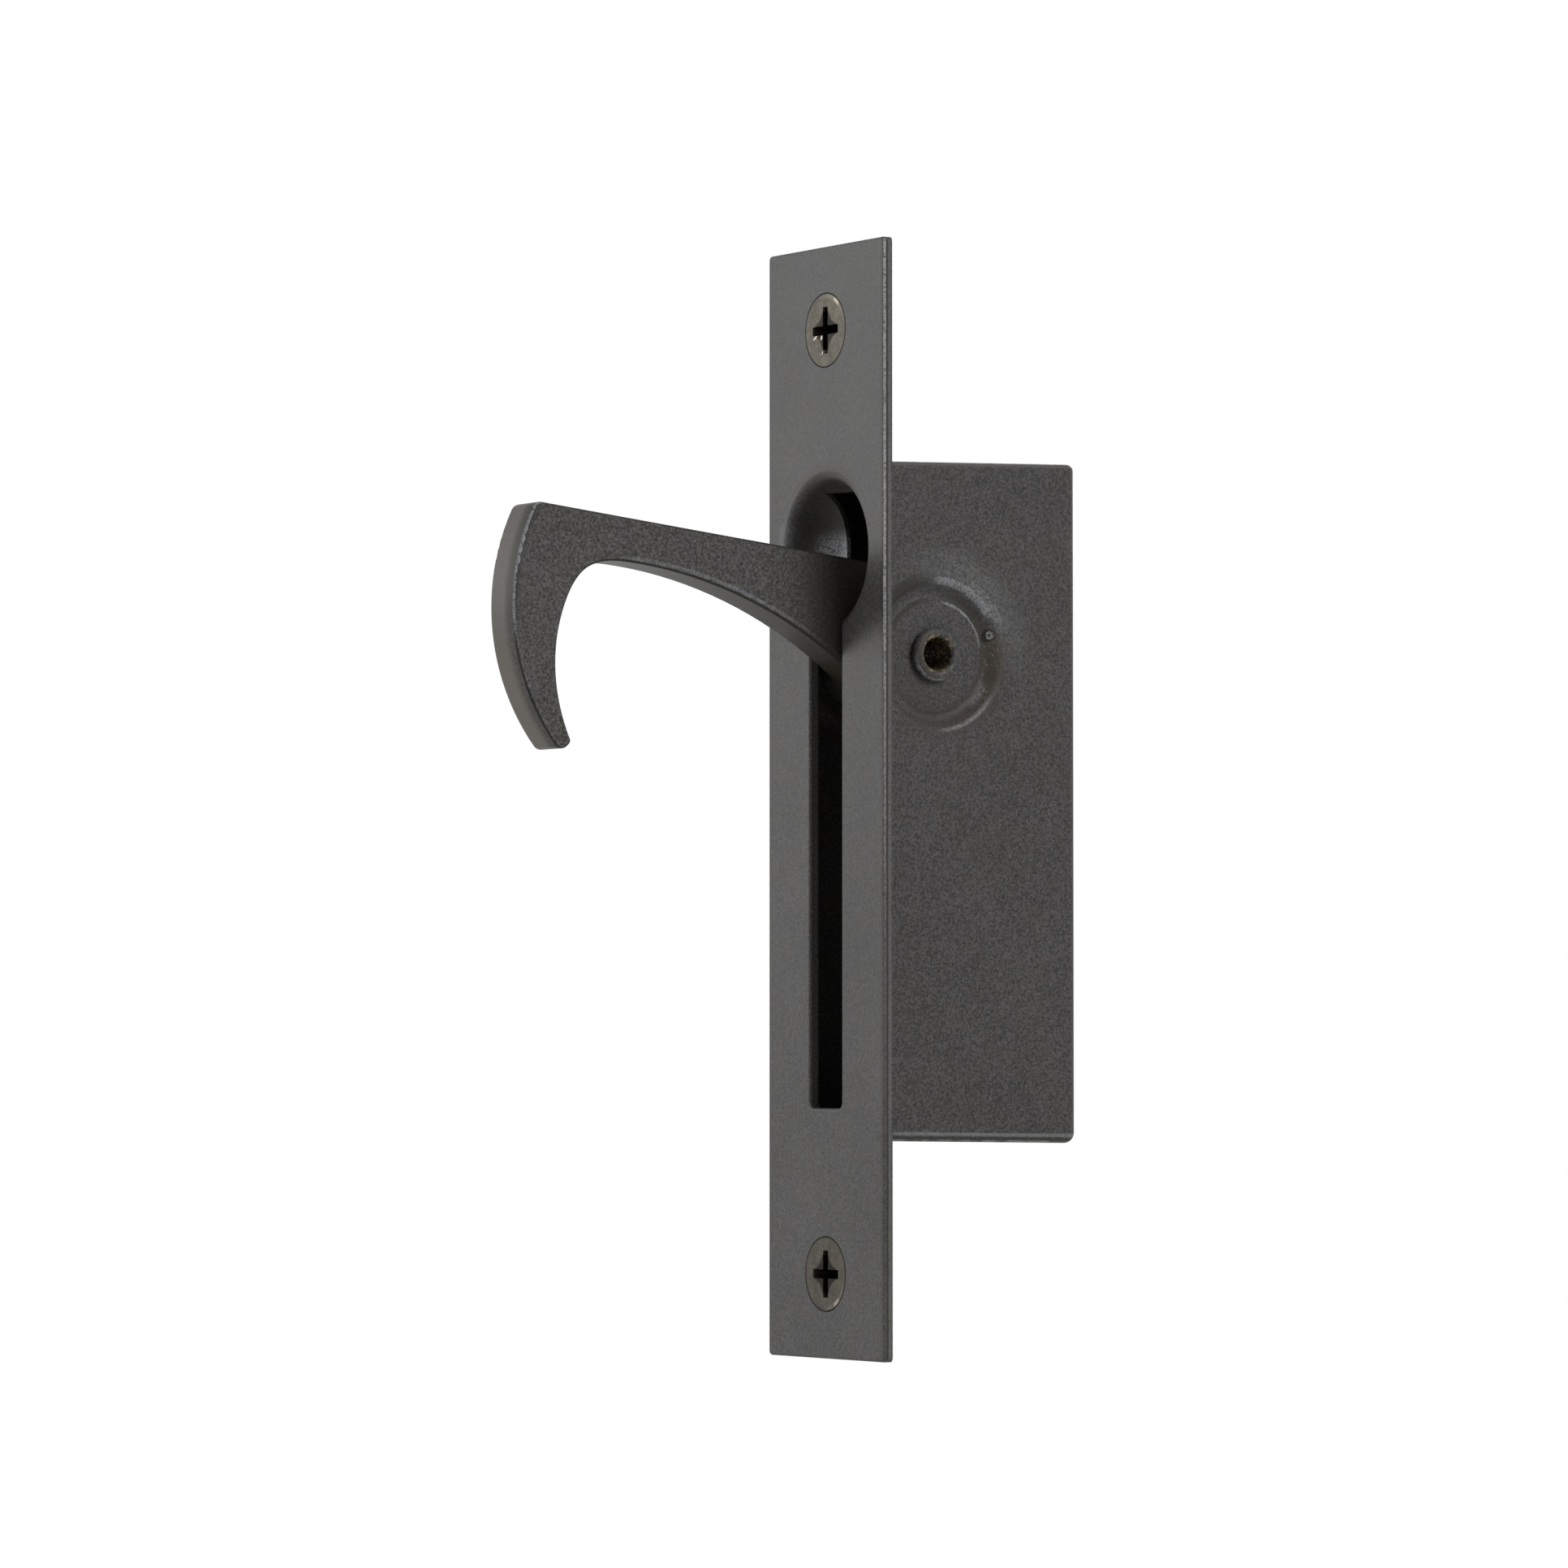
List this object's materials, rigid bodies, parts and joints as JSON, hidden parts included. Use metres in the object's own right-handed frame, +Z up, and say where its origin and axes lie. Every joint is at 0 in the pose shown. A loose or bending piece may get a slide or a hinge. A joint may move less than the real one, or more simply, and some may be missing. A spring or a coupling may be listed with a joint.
{
  "type": "sliding door edge pull",
  "caption": "Sliding door edge pull: a slotted faceplate with a pressed thumb recess, a folded sheet case behind it and a hooked finger lever that swings out of the slot on a hollow rivet.",
  "frame": {"origin": "on the faceplate's rear face, which seats on the door's edge, midway between the two fixing screws", "axes": "+Z up along the faceplate, +Y into the door's edge, X across the faceplate; the lever stands swung out towards -Y"},
  "size_m": [0.019, 0.0547, 0.0984],
  "materials": {
    "plate_coat": "satin dark bronze powder coat",
    "case_coat": "textured dark bronze powder coat",
    "lever_coat": "textured dark bronze powder coat over a casting",
    "rivet_coat": "textured dark bronze powder coat over brass",
    "screw_bronze": "antique bronze plating",
    "washer_steel": "plain oiled steel"
  },
  "bodies": {
    "housing": {"faceplate": "plate_coat", "case": "case_coat", "pivot_rivet": "rivet_coat", "right_washer": "washer_steel", "left_washer": "washer_steel", "wave_washer": "washer_steel", "upper_screw": "screw_bronze", "lower_screw": "screw_bronze"},
    "lever": {"lever": "lever_coat"}
  },
  "joints": [
    {"name": "lever_pivot", "type": "hinge", "parent": "housing", "child": "lever", "pos_m": [0, 0.00605, 0.01285], "axis": [1, 0, 0], "range_deg": [0, 96.73]}
  ]
}
